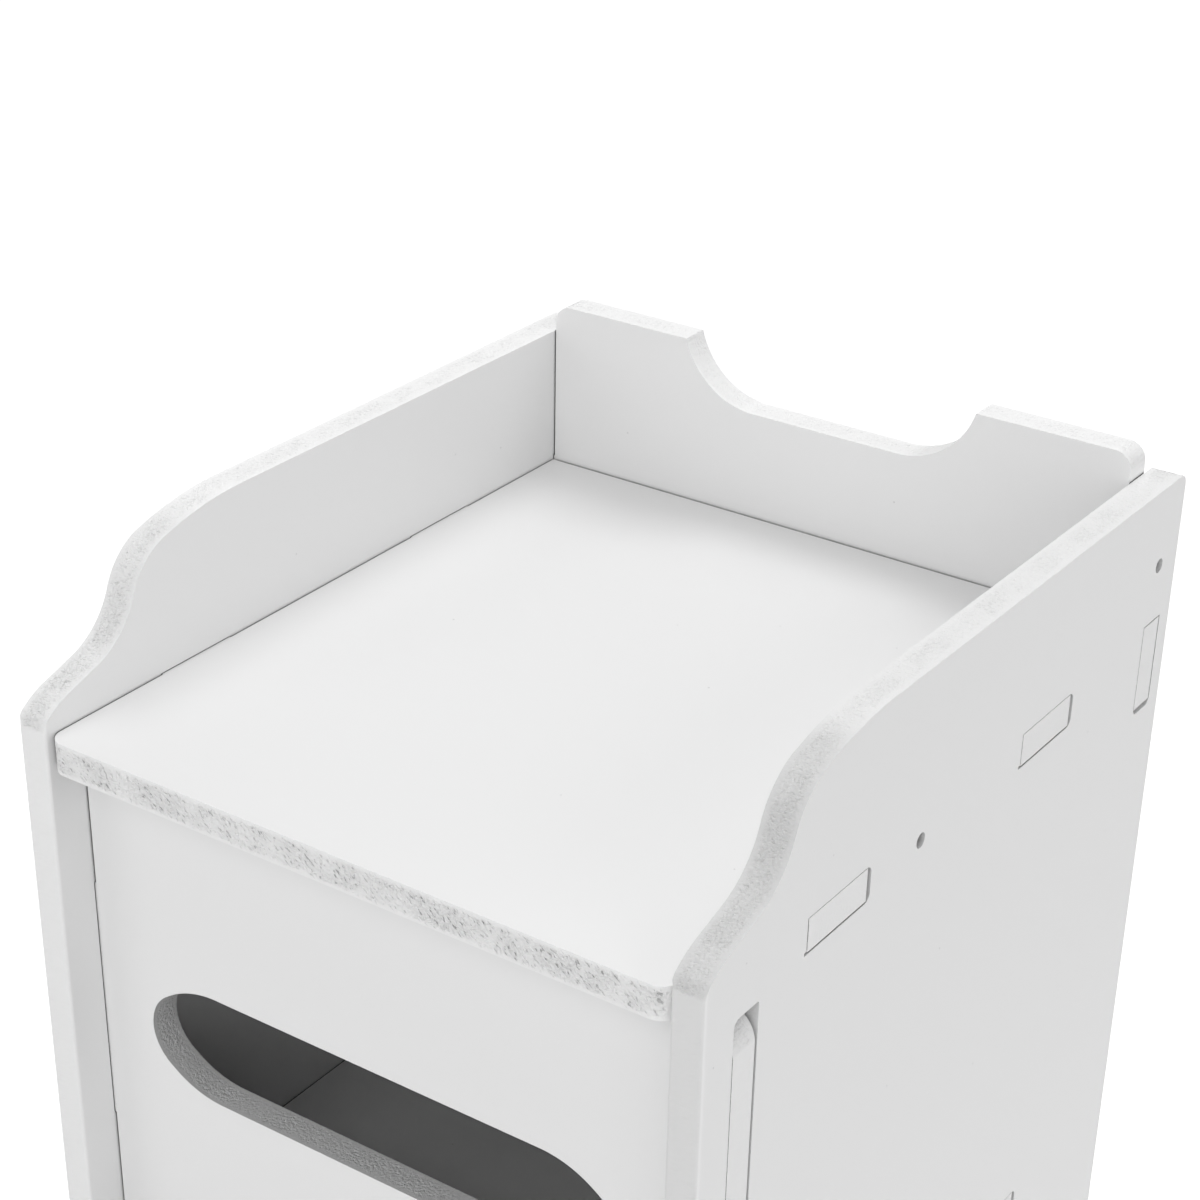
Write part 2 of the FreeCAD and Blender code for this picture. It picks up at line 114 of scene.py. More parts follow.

# %% [markdown]
# ## Foamed PVC board
#
# Foamed PVC sheet is extruded between polished rolls, so its faces have a closed, smooth skin with a satin
# sheen and a trace of orange peel. Where a router cuts it, the blade opens the foam, and three things show.
# Chatter lines run across the edge, where the cutter hopped. Torn strokes lie in the soft core between the two
# skins; the grey inside them is painted shade in their hollows, and their pale lip is a painted highlight on the
# side that faces the light. And the strokes come in drifts, since the foam isn't equally dense everywhere. The
# foam is stretched the way the sheet was drawn. A cut along that direction stays nearly smooth, a slanting one
# tears most, and one square across it tears less and shows a more even foam; on the sides that is the top edge,
# and its paler colour there is a painted highlight of the light from above.
#
# One material can do all of this if it knows three things about the place that it colours. The normal along the
# board's thickness tells a skin from a cut. The normal along the draw direction tells a torn cut from a clean
# one. And an attribute named across, from -1 on one skin to 1 on the other, tells the core from the rim. So each
# board has three colours, for a clean, a torn and a square cut, and the torn strokes lie on top.
#
# Every pattern is a noise behind a Mapping node of the kind Texture. That divides each axis by the size that one
# feature has along it, so real millimetres go straight in, and long strokes come from one size larger than the
# others. The strokes are the peaks of their noise, which have ragged outlines, as torn foam has.
#
# The shade in the joints between the boards is painted into the colour. Drawn as lines, each would need a place, so
# the material asks how much of its surroundings a point sees within a millimetre, and paints shade where that is
# little.

# %% Sizes and colours of the board's finish
# Hollows of the torn strokes, and the clusters of open cells between them.
BOWL_DEPTH_MM = 0.4
MOTTLE_MM = 0.75
# Hops of the cutter: how far apart, how long across the edge and how deep.
CHATTER_MM = 0.75
CHATTER_LENGTH_MM = 7.0
CHATTER_DEPTH_MM = 0.2
# Loose and dense patches of foam, and the share of the tear that the dense ones keep.
DRIFT_MM = 7.0
LEAST_DRIFT = 0.6
# Orange peel of the rolled skin, the space between specks of grit on it, and how strongly they show.
PEEL_MM = 2.6
PEEL_DEPTH_MM = 0.0022
SPECK_MM = 11.0
SPECK_SHARE = 0.3
# How far the painted shade in the joints reaches, and how much colour is lost to light that has bounced more
# than once, a painted shade that keeps the inside dim.
PAINTED_SHADE_REACH_MM = 1.0
BOUNCE_LOSS = 0.9
# The skin, its grit, and the painted shade in the joints.
SKIN, GRIT, PAINTED_JOINT_SHADE = "#F1F1F1", "#909090", "#383838"
# Painted shade in the hollows of torn strokes, and a painted highlight on their lit side.
STROKE_PAINTED_SHADE, STROKE_PAINTED_HIGHLIGHT = "#A0A0A0", "#FCFCFC"
SKIN_ROUGHNESS, CUT_ROUGHNESS = 0.42, 0.75
PVC_IOR = 1.53


def between(start, full):
    """Where a mask starts and where it is full, on the share or the noise that it reads."""
    return {"From Min": start, "From Max": full}


CUT_RANGE, SQUARE_RANGE = between(0.85, 0.45), between(0.965, 1.0)
PAINTED_HIGHLIGHT_RANGE, STROKE_PAINTED_SHADE_RANGE, BOWL_RANGE = between(0.54, 0.62), between(0.58, 0.68), between(0.5, 0.72)

# Settings that many nodes share.
SMOOTH = {"interpolation_type": "SMOOTHSTEP"}
MULTIPLY, ADD, MULTIPLY_ADD = {"operation": "MULTIPLY"}, {"operation": "ADD"}, {"operation": "MULTIPLY_ADD"}
ABSOLUTE, SUBTRACT = {"operation": "ABSOLUTE"}, {"operation": "SUBTRACT"}
print("cutter hops", CHATTER_MM, "mm apart, torn strokes up to", BOWL_DEPTH_MM, "mm deep")


# %% Where the board is skin, clean cut or torn cut
def cut_masks(tree, skin_axis, draw_axis, lean, square_tear):
    """Three masks: the cut, which fades in as the normal leaves the thickness; the cut that is square to the
    draw; and the torn cut, which sets in over lean and keeps only the share square_tear where it is square."""
    place = add_node(tree, "ShaderNodeTexCoord")
    normal = add_node(tree, "ShaderNodeSeparateXYZ", inputs={0: place.outputs["Normal"]})
    to_skin = add_node(tree, "ShaderNodeMath", ABSOLUTE, {0: normal.outputs[skin_axis]})
    cut = add_node(tree, "ShaderNodeMapRange", SMOOTH, {"Value": to_skin, **CUT_RANGE})
    in_plane = add_node(tree, "ShaderNodeVectorMath", MULTIPLY,
                        {0: place.outputs["Normal"], 1: [float(axis != skin_axis) for axis in "XYZ"]})
    heading = add_node(tree, "ShaderNodeVectorMath", {"operation": "NORMALIZE"}, {0: in_plane})
    heading = add_node(tree, "ShaderNodeSeparateXYZ", inputs={0: heading})
    to_draw = add_node(tree, "ShaderNodeMath", ABSOLUTE, {0: heading.outputs[draw_axis]})
    masks = []
    for limits, most in ((SQUARE_RANGE, 1.0), (lean, 1.0), (SQUARE_RANGE, square_tear - 1)):
        step = add_node(tree, "ShaderNodeMapRange", SMOOTH, {"Value": to_draw, **limits, "To Max": most})
        masks.append(add_node(tree, "ShaderNodeMath", MULTIPLY, {0: step, 1: cut}))
    square, torn, spared = masks
    return cut, square, add_node(tree, "ShaderNodeMath", ADD, {0: torn, 1: spared})


print("a cut starts", round(math.degrees(math.acos(CUT_RANGE["From Min"]))), "degrees off the skin")


# %% The torn core
def sized_noise(tree, size_mm, detail, turn=(0, 0, 0), shift_mm=(0, 0, 0)):
    """Noise whose features have their own size along each axis of a frame that is turned and shifted."""
    place = add_node(tree, "ShaderNodeTexCoord")
    sized = add_node(tree, "ShaderNodeMapping", {"vector_type": "TEXTURE"},
                     {"Vector": place.outputs["Object"], "Rotation": turn,
                      "Location": [shift * MM for shift in shift_mm], "Scale": [size * MM for size in size_mm]})
    return add_node(tree, "ShaderNodeTexNoise", inputs={"Vector": sized, "Scale": 1.0, "Detail": detail})


def torn_core(tree, tear, rim):
    """The tear, faded out between the share rim of the way to a skin and the skin itself, thinned in drifts."""
    across = add_node(tree, "ShaderNodeAttribute", {"attribute_name": "across"})
    depth = add_node(tree, "ShaderNodeMath", ABSOLUTE, {0: across.outputs["Fac"]})
    core = add_node(tree, "ShaderNodeMapRange", SMOOTH, {"Value": depth, **between(0.98, rim)})
    drift = sized_noise(tree, [DRIFT_MM] * 3, 1.0)
    dense = add_node(tree, "ShaderNodeMapRange", SMOOTH,
                     {"Value": drift, **between(0.36, 0.6), "To Min": LEAST_DRIFT})
    torn = add_node(tree, "ShaderNodeMath", MULTIPLY, {0: core, 1: dense})
    return add_node(tree, "ShaderNodeMath", MULTIPLY, {0: torn, 1: tear})


print("dense patches of", DRIFT_MM, "mm keep", LEAST_DRIFT, "of the tear")


# %% Relief of the board
def board_relief(tree, cut, torn, bowl, mottle, grain_mm, chatter):
    """Height in millimetres: orange peel, less the bowls, with chatter and mottling about their mean height."""
    peel = sized_noise(tree, [PEEL_MM] * 3, 3.0)
    height = add_node(tree, "ShaderNodeMath", MULTIPLY, {0: peel, 1: PEEL_DEPTH_MM})
    height = add_node(tree, "ShaderNodeMath", MULTIPLY_ADD, {0: bowl, 1: -BOWL_DEPTH_MM, 2: height})
    for pattern, mask, depth in ((chatter, cut, CHATTER_DEPTH_MM), (mottle, torn, grain_mm)):
        centred = add_node(tree, "ShaderNodeMath", SUBTRACT, {0: pattern, 1: 0.5})
        share = add_node(tree, "ShaderNodeMath", MULTIPLY, {0: centred, 1: mask})
        height = add_node(tree, "ShaderNodeMath", MULTIPLY_ADD, {0: share, 1: depth, 2: height})
    return add_node(tree, "ShaderNodeBump", inputs={"Strength": 1.0, "Distance": MM, "Height": height})


print("orange peel of", PEEL_MM, "mm,", PEEL_DEPTH_MM, "mm deep")


# %% Colour of the board
def board_colour(tree, shares, colours):
    """Skin with rare grit, then each colour laid over what is below it by its share, then a painted shade in the
    joints by how little of its surroundings a point sees. Light that has bounced more than once meets less colour,
    a painted shade that keeps the inside and the joints dim."""
    place = add_node(tree, "ShaderNodeTexCoord")
    specks = add_node(tree, "ShaderNodeTexVoronoi",
                      inputs={"Vector": place.outputs["Object"], "Scale": 1 / (SPECK_MM * MM)})
    grit = add_node(tree, "ShaderNodeMapRange", SMOOTH,
                    {"Value": specks.outputs["Distance"], **between(0.03, 0.015), "To Max": SPECK_SHARE})
    # Painted shade: the colour darkens where a point sees little of its surroundings, as in the joints.
    seen = add_node(tree, "ShaderNodeAmbientOcclusion", {"samples": 4}, {"Distance": PAINTED_SHADE_REACH_MM * MM})
    painted_joint_shade = add_node(tree, "ShaderNodeMapRange", SMOOTH,
                     {"Value": seen.outputs["AO"], **between(0.45, 0.2)})
    # Painted shade: light that has bounced more than once meets a darker colour, which dims the inside and the
    # joints.
    path = add_node(tree, "ShaderNodeLightPath")
    painted_bounce_shade = add_node(tree, "ShaderNodeMapRange", SMOOTH,
                     {"Value": path.outputs["Diffuse Depth"], **between(1.0, 3.0), "To Max": BOUNCE_LOSS})
    below = linear(SKIN)
    layers = [linear(GRIT), *map(linear, colours), linear(PAINTED_JOINT_SHADE), (0, 0, 0, 1)]
    for share, colour in zip((grit, *shares, painted_joint_shade, painted_bounce_shade), layers):
        below = add_node(tree, "ShaderNodeMix", {"data_type": "RGBA"},
                         {"Factor": share, "A": below, "B": colour}).outputs["Result"]
    return below


print("joints darken within", PAINTED_SHADE_REACH_MM, "mm of a corner")


# %% The board material
def foamed_board(name, axes, colours, stroke_mm, highlight_shift_mm, contrast, grain_mm, turn=(0, 0, 0), rim=0.45,
                 lean=between(0.03, 0.2), square_tear=1.0):
    """Axes are those of the thickness and of the draw, and colours those of a clean, a torn and a square cut.
    Strokes of stroke_mm, turned by turn, are where their noise peaks, and their grey is painted shade. A painted
    highlight lies on the same strokes shifted by the highlight's shift in millimetres, to the side that faces the
    light."""
    material, tree, output = new_material(name)
    cut, square, tear = cut_masks(tree, *axes, lean, square_tear)
    torn = torn_core(tree, tear, rim)
    ragged = sized_noise(tree, stroke_mm, 2.5, turn)
    beside = sized_noise(tree, stroke_mm, 2.5, turn, highlight_shift_mm)
    mottle = sized_noise(tree, [MOTTLE_MM] * 3, 2.0)
    hop_mm = [CHATTER_LENGTH_MM if axis == axes[0] else CHATTER_MM for axis in "XYZ"]
    chatter = sized_noise(tree, hop_mm, 2.0, turn)
    masks = []
    for pattern, limits in ((beside, PAINTED_HIGHLIGHT_RANGE), (ragged, STROKE_PAINTED_SHADE_RANGE), (ragged, BOWL_RANGE)):
        step = add_node(tree, "ShaderNodeMapRange", SMOOTH, {"Value": pattern, **limits, "To Max": contrast})
        masks.append(add_node(tree, "ShaderNodeMath", MULTIPLY, {0: step, 1: torn}))
    # The lip mask is where the painted highlight goes, and the next mask is the strokes' painted shade.
    lip, painted_stroke_shade, bowl = masks
    relief = board_relief(tree, cut, torn, bowl, mottle, grain_mm, chatter)
    colour = board_colour(tree, (cut, tear, square, lip, painted_stroke_shade), (*colours, STROKE_PAINTED_HIGHLIGHT, STROKE_PAINTED_SHADE))
    roughness = add_node(tree, "ShaderNodeMapRange",
                         inputs={"Value": cut, "To Min": SKIN_ROUGHNESS, "To Max": CUT_ROUGHNESS})
    shader = add_node(tree, "ShaderNodeBsdfPrincipled",
                      inputs={"Base Color": colour, "Roughness": roughness, "IOR": PVC_IOR, "Normal": relief})
    tree.links.new(shader.outputs["BSDF"], output.inputs["Surface"])
    return material


# %% Five cuts of the same sheet
# The sides are drawn upright. Their strokes are fine and level, and the slanting ramp tears all along. The
# right side's cuts are greyer: a painted shade, as more light falls on the left side.
# On the sides the square cut is the top edge, and its paler colour there is a painted highlight of the light from
# above.
side_cut = {"axes": "XZ", "stroke_mm": (1.0, 0.48, 0.48), "highlight_shift_mm": (0, -0.1, -0.16),
            "turn": (0, -0.24, 0.2), "grain_mm": 0.85, "square_tear": 0.65}
left_board = foamed_board("foamed_pvc_left_side", colours=("#F6F6F6", "#F0F0F0", "#FDFDFD"), contrast=0.35,
                          **side_cut)
right_board_painted_shade = foamed_board("foamed_pvc_right_side_painted_shade", colours=("#E5E5E5", "#DCDCDC", "#F1F1F1"), contrast=0.3,
                           **side_cut)
# The back, the door, the toe kick and the sliding front have quiet edges with only a little grain.
front_cut = {"axes": "YZ", "stroke_mm": (0.7, 1.2, 0.7), "highlight_shift_mm": (0, 0, -0.16), "grain_mm": 0.4}
front_board = foamed_board("foamed_pvc_front_board", colours=("#FBFBFB", "#F4F4F4", "#FBFBFB"), contrast=0.15,
                           **front_cut)
# The oval was cut all round in one pass, and its wall is torn everywhere. Its grey is painted shade in the opening.
oval_wall_painted_shade = foamed_board("foamed_pvc_oval_wall_painted_shade", colours=("#C4C4C4", "#C4C4C4", "#CCCCCC"), contrast=0.3,
                        lean=between(-1.0, -0.5), **front_cut)
# The shelves are drawn front to back, so their front edge is cut square and shows long, slanting strokes.
shelf_board = foamed_board("foamed_pvc_shelf_board", "ZY", colours=("#FBFBFB", "#F8F8F8", "#F8F8F8"),
                           stroke_mm=(1.5, 1.2, 0.7), highlight_shift_mm=(-0.17, 0, -0.18), contrast=0.75,
                           grain_mm=1.25, turn=(0, math.radians(42), 0), rim=0.6, lean=between(0.4, 0.95))
print("boards:", [board.name for board in (left_board, right_board_painted_shade, front_board, oval_wall_painted_shade, shelf_board)])

# %% [markdown]
# ## Reading a board's outline back from its solid
#
# A board is an outline with some holes, carried through the sheet's thickness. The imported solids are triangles,
# so we first find that outline again: the triangles that lie on one face of the board, and of their edges those
# that no neighbour runs along the other way. Each such edge says which corner follows which.
#
# To put the corners in order without walking along them one by one, we double the steps: if a table says who
# comes next, then the table looked up in itself says who comes second next, and a few more doublings reach round
# the whole loop. The lowest number met names the loop, and the number of steps to it gives the order.

# %% Outline and holes of a flat face
# How near two points are one, and how near to a level a point lies on it, in metres.
SAME_POINT = 2e-6
ON_FACE = 1e-5


def merged_solid(node_name):
    """Corner points and triangles of a solid whose loose triangles have been joined, as two arrays."""
    work = bmesh.new()
    work.from_mesh(nodes[node_name].data)
    bmesh.ops.remove_doubles(work, verts=work.verts, dist=SAME_POINT)
    bmesh.ops.triangulate(work, faces=work.faces)
    mesh = bpy.data.meshes.new("merged")
    work.to_mesh(mesh)
    work.free()
    points = np.empty(len(mesh.vertices) * 3)
    mesh.vertices.foreach_get("co", points)
    corners = np.empty(len(mesh.loops), np.int32)
    mesh.loops.foreach_get("vertex_index", corners)
    bpy.data.meshes.remove(mesh)
    return points.reshape(-1, 3), corners.reshape(-1, 3)


def plane_of(axis):
    """The two other axes, in right-handed order."""
    return [(axis + 1) % 3, (axis + 2) % 3]


def face_loops(points, triangles, axis, level):
    """Loops of the flat face at that level on axis: the edges met one way only, ordered by doubling the steps."""
    flat = np.all(np.abs(points[triangles][:, :, axis] - level) < ON_FACE, axis=1)
    start = triangles[flat].ravel()
    end = np.roll(triangles[flat], -1, axis=1).ravel()
    count = len(points)
    rim = ~np.isin(start * count + end, end * count + start)
    follow = np.arange(count)
    follow[start[rim]] = end[rim]
    doublings = int(math.log2(count)) + 2
    name, jump = np.arange(count), follow
    for _ in range(doublings):
        name, jump = np.minimum(name, name[jump]), jump[jump]
    first = name == np.arange(count)
    steps, jump = np.where(first, 0, 1), np.where(first, name, follow)
    for _ in range(doublings):
        steps, jump = steps + steps[jump], jump[jump]
    steps[first] = count
    rim_points = np.unique(start[rim])
    loops = [rim_points[name[rim_points] == label] for label in np.unique(name[rim_points])]
    return [points[loop[np.argsort(-steps[loop])]][:, plane_of(axis)] for loop in loops]


trial = merged_solid("right_side_panel")
trial_loops = face_loops(*trial, 0, trial[0][:, 0].max())
print("right side:", len(trial_loops), "loops of", sorted({len(loop) for loop in trial_loops}), "points")

# %% [markdown]
# ## Smoother curves and softer corners
#
# The solids follow a curve with straight chords, which is fine for measuring and shows as corners in a close
# view. Chords of one arc all have the same length and turn by the same angle, so an edge whose neighbour has its
# length, with a small turn between them, belongs to an arc: its radius is half the chord over the sine of half
# the turn, and we can put new points on that arc. Sharp corners get the opposite: each is cut back and bridged by
# a small parabola.

# %% Refine arcs and round corners in the plane
# How far a chord may stay off its arc, how alike two chords of one arc are in length, which turns belong to an
# arc or to a sharp corner, and what stands in for the turn of a straight edge.
FLATNESS = 0.004 * MM
LENGTH_MATCH = 0.02
LEAST_TURN = 0.004
SMOOTH_TURN = math.radians(20)
SHARP_TURN = math.radians(28)
STRAIGHT = 1e-6
# A rounded corner's points, its cut in widths of the ease beside it, and the most of an edge that a cut takes.
CORNER_POINTS = 6
CORNER_CUT = 1.7
CORNER_SHARE = 0.42


def cross(a, b):
    """Signed areas of pairs of flat vectors: a_x b_y - a_y b_x."""
    return a[:, 0] * b[:, 1] - a[:, 1] * b[:, 0]


def to_right(heading):
    """Flat directions turned a quarter clockwise: outwards, where a loop has its board on the left."""
    return np.stack([heading[:, 1], -heading[:, 0]], axis=1)


def turns(loop):
    """Each edge's direction and length, and the signed angle by which the loop turns where that edge starts."""
    edge = np.roll(loop, -1, axis=0) - loop
    length = np.hypot(edge[:, 0], edge[:, 1])
    before = np.roll(edge, 1, axis=0)
    turn = np.arctan2(cross(before, edge), (before * edge).sum(axis=1))
    return edge / length[:, None], length, turn


def finer_arcs(loop):
    """Points on each arc's own circle: along c/2 + r sin((s - 1/2) a), aside r cos(a/2) - r cos((s - 1/2) a)."""
    heading, length, turn = turns(loop)
    alike = np.abs(length / np.roll(length, 1) - 1) < LENGTH_MATCH
    alike &= (np.abs(turn) < SMOOTH_TURN) & (np.abs(turn) > LEAST_TURN)
    alike_after, turn_after = np.roll(alike, -1), np.roll(turn, -1)
    bend = np.where(alike, turn, np.where(alike_after, turn_after, 0.0))
    parts = np.ceil(np.sqrt(np.maximum(length * np.abs(bend) / 8 / FLATNESS, 1.0))).astype(int)
    edge = np.repeat(np.arange(len(loop)), parts)
    share = (np.arange(len(edge)) - np.repeat(np.cumsum(parts) - parts, parts)) / parts[edge]
    angle = np.where(bend == 0, STRAIGHT, bend)[edge]
    radius = length[edge] / (2 * np.sin(angle / 2))
    along = length[edge] / 2 + radius * np.sin((share - 0.5) * angle)
    aside = radius * (np.cos(angle / 2) - np.cos((share - 0.5) * angle))
    return loop[edge] + heading[edge] * along[:, None] - to_right(heading)[edge] * aside[:, None]


def parabola(a, corner, b, s):
    """Points from a to b that leave and arrive along the corner's legs: (1-s)^2 a + 2s(1-s) corner + s^2 b."""
    return (1 - s) ** 2 * a + 2 * s * (1 - s) * corner + s ** 2 * b


def softer_corners(loop, ease):
    """Corners sharper than SHARP_TURN become parabolas that start and end a short cut away from them."""
    heading, length, turn = turns(loop)
    sharp = np.abs(turn) > SHARP_TURN
    right = to_right(heading)
    width = np.maximum(ease(loop, right), ease(loop, np.roll(right, 1, axis=0)))
    cut = np.minimum(width * CORNER_CUT, np.minimum(length, np.roll(length, 1)) * CORNER_SHARE)
    corner = np.repeat(np.arange(len(loop)), np.where(sharp, CORNER_POINTS, 1))
    first = np.searchsorted(corner, corner)
    s = np.where(sharp[corner], (np.arange(len(corner)) - first) / (CORNER_POINTS - 1), 0.5)[:, None]
    reach = np.where(sharp, cut, 0.0)[corner][:, None]
    a = loop[corner] - np.roll(heading, 1, axis=0)[corner] * reach
    b = loop[corner] + heading[corner] * reach
    return parabola(a, loop[corner], b, s)


smooth_loop = finer_arcs(trial_loops[0])
print("outline:", len(trial_loops[0]), "points, then", len(smooth_loop))

# %% [markdown]
# ## A board as a profile carried round its outline
#
# A light pass with a scraper takes the sharpness off a routed edge, and that small round is what catches the
# light. So the profile that we carry round each loop is a quarter circle, the wall, and a quarter circle again.
# On the front edges of the two sides, where a hand meets the cabinet, it is many times wider than elsewhere, and
# the brow, where the ramp meets the front edge, is rounded off as well. The shelves have a wider round at the
# rear, where the painted shade in the joints makes a thin dark line before the back panel.
#
# The two faces are filled by triangles between the outline and the holes, and every point gets the exact normal
# of the ideal surface, so that the large flat faces are shaded flat up to their last tenth of a millimetre.

# %% Board builder
EASE_MM = 0.08
FRONT_EASE_MM = 0.9
REAR_EASE_MM = 0.6
# An edge faces the front or rear from this share of its outward direction on, fully after this span more, and
# it belongs to the board's front or rear edge while it is this near to the board's end.
FACING_START, FACING_SPAN = 0.9, 0.09
NEAR_END_MM = 0.5
BROW_MM = 2.2
BROW_POINTS = 14
QUARTER = np.linspace(0, math.pi / 2, 5)[:, None]
# A hole with a floor is smaller than this. A larger loop with points inside it is the board's own outline.
BLIND_HOLE_MM = 20


def plain_ease(loop, outward):
    """The same small round all along an edge."""
    return np.full(len(loop), EASE_MM * MM)


def side_ease(loop, outward):
    """A wider round on the front edge, blended in by how directly the edge faces the front."""
    at_front = loop[:, 0] < loop[:, 0].min() + NEAR_END_MM * MM
    share = np.clip((-outward[:, 0] - FACING_START) / FACING_SPAN, 0, 1) * at_front
    return (EASE_MM + (FRONT_EASE_MM - EASE_MM) * share ** 2 * (3 - 2 * share)) * MM


def shelf_ease(loop, outward):
    """A wider round on the rearmost edge."""
    at_rear = (outward[:, 1] > FACING_START) & (loop[:, 1] > loop[:, 1].max() - NEAR_END_MM * MM)
    return np.where(at_rear, REAR_EASE_MM, EASE_MM) * MM


def brow(loop):
    """The outline with its highest front corner turned into a parabola that starts BROW_MM before and after it."""
    at_front = loop[:, 0] < loop[:, 0].min() + ON_FACE
    middle = len(loop) // 2
    loop = np.roll(loop, middle - np.where(at_front, loop[:, 1], 0).argmax(), axis=0)
    gone = np.concatenate([[0], np.cumsum(np.hypot(*np.diff(loop, axis=0).T))])
    gone -= gone[middle]
    a, b = (np.array([np.interp(end, gone, loop[:, 0]), np.interp(end, gone, loop[:, 1])])
            for end in (-BROW_MM * MM, BROW_MM * MM))
    curve = parabola(a, loop[middle], b, np.linspace(0, 1, BROW_POINTS)[:, None])
    return np.concatenate([loop[gone < -BROW_MM * MM], curve, loop[gone > BROW_MM * MM]])


def lifted(flat, height, axis):
    """Points or directions in the board's plane and their heights, put together in three dimensions."""
    made = np.empty((*height.shape, 3))
    made[..., plane_of(axis)] = flat
    made[..., axis] = height
    return made


def quarter_rings(loop, ease, axis, level, facing):
    """Five rings: inset by ease (1 - sin t), sunk by ease (1 - cos t), with normals cos t up and sin t out."""
    heading, length, turn = turns(loop)
    right = to_right(heading)
    middle = right + np.roll(right, 1, axis=0)
    middle /= np.linalg.norm(middle, axis=1, keepdims=True)
    outward = right * length[:, None] + np.roll(right * length[:, None], 1, axis=0)
    outward /= np.linalg.norm(outward, axis=1, keepdims=True)
    width = ease(loop, outward)
    inset = (1 - np.sin(QUARTER)) * width / np.cos(turn / 2)
    rings = lifted(loop - middle * inset[..., None], level - facing * width * (1 - np.cos(QUARTER)), axis)
    normals = lifted(outward * np.sin(QUARTER)[..., None],
                     np.broadcast_to(facing * np.cos(QUARTER), inset.shape), axis)
    return rings, normals


def quads_between(rows, columns, base):
    """Faces of a grid of rows by columns that closes on itself along its columns, numbered from base."""
    row, column = np.arange(rows - 1)[:, None] * columns + base, np.arange(columns)
    after = (column + 1) % columns
    corners = [row + column, row + columns + column, row + columns + after, row + after]
    return np.stack(corners, axis=-1).reshape(-1, 4)


def cap_faces(rims, axis, facing):
    """Outward triangles between an outline and its holes, each given as its points and its first number."""
    flat = [loop[:, plane_of(axis)] for loop, _ in rims]
    made = np.array(tessellate_polygon([[Vector((u, v, 0)) for u, v in loop] for loop in flat]))
    a, b, c = np.concatenate(flat)[made].transpose(1, 0, 2)
    made = made[:, ::-1] if cross(b - a, c - a).sum() * facing < 0 else made
    return np.concatenate([first + np.arange(len(loop)) for loop, first in rims])[made].tolist()


def board_mesh(node_name, axis, ease):
    """Points, faces, normals and each face's loop number: a loop is a wall with two eased rims, or has a floor."""
    points, triangles = merged_solid(node_name)
    ends = {1: points[:, axis].max(), -1: points[:, axis].min()}
    inner = points[(points[:, axis] < ends[1] - ON_FACE) & (points[:, axis] > ends[-1] + ON_FACE)]
    made_points, made_normals, faces, numbers, rims, count = [], [], [], [], {1: [], -1: []}, 0
    for facing, level in ends.items():
        loops = [finer_arcs(loop[::facing]) for loop in face_loops(points, triangles, axis, level)]
        for loop in sorted(loops, key=lambda loop: -np.ptp(loop, axis=0).prod()):
            outline = not rims[facing] and facing > 0
            loop_ease = ease if outline else plain_ease
            loop = softer_corners(brow(loop) if loop_ease is side_ease else loop, loop_ease)
            flat = inner[:, plane_of(axis)]
            near = np.all((flat > loop.min(axis=0)) & (flat < loop.max(axis=0)), axis=1)
            blind = near.any() and np.ptp(loop, axis=0).max() < BLIND_HOLE_MM * MM
            if facing < 0 and not blind:
                continue
            rings, normals = quarter_rings(loop, loop_ease, axis, level, facing)
            if blind:
                depth = (facing * inner[near, axis]).max() * facing
                far, far_normals = lifted(loop, np.full(len(loop), depth), axis)[None], normals[:1]
            else:
                far, far_normals = quarter_rings(loop, loop_ease, axis, ends[-1], -1)
            rings = np.concatenate([rings, far[::-1]])
            normals = np.concatenate([normals, far_normals[::-1]])
            faces += quads_between(len(rings), len(loop), count)[:, ::facing].tolist()
            last = count + (len(rings) - 1) * len(loop)
            rims[facing].append((rings[0], count))
            if blind:
                faces.append(np.arange(last, last + len(loop))[::-facing].tolist())
            else:
                rims[-facing].append((rings[-1], last))
            numbers += [len(made_points)] * (len(faces) - len(numbers))
            made_points.append(rings.reshape(-1, 3))
            made_normals.append(normals.reshape(-1, 3))
            count = last + len(loop)
    faces += cap_faces(rims[1], axis, 1) + cap_faces(rims[-1], axis, -1)
    numbers += [0] * (len(faces) - len(numbers))
    return np.concatenate(made_points), faces, np.concatenate(made_normals), np.array(numbers)


def add_object(name, data):
    """An object with that data, linked into the scene."""
    made = bpy.data.objects.new(name, data)
    bpy.context.scene.collection.objects.link(made)
    return made


def board(node_name, axis, skin_axis, material, ease=plain_ease, hole_material=None):
    """The board as an object, with its exact normals and the attribute across from skin to skin."""
    points, faces, normals, numbers = board_mesh(node_name, axis, ease)
    mesh = bpy.data.meshes.new(node_name + "_dressed")
    mesh.from_pydata(points.tolist(), [], faces)
    depth = points[:, skin_axis]
    across = mesh.attributes.new("across", "FLOAT", "POINT")
    across.data.foreach_set("value", 2 * (depth - depth.min()) / np.ptp(depth) - 1)
    mesh.materials.append(material)
    if hole_material:
        mesh.materials.append(hole_material)
        mesh.polygons.foreach_set("material_index", np.minimum(numbers, 1))
    mesh.shade_smooth()
    mesh.normals_split_custom_set_from_vertices(normals.tolist())
    return dress(add_object(node_name + "_dressed", mesh), node_name)


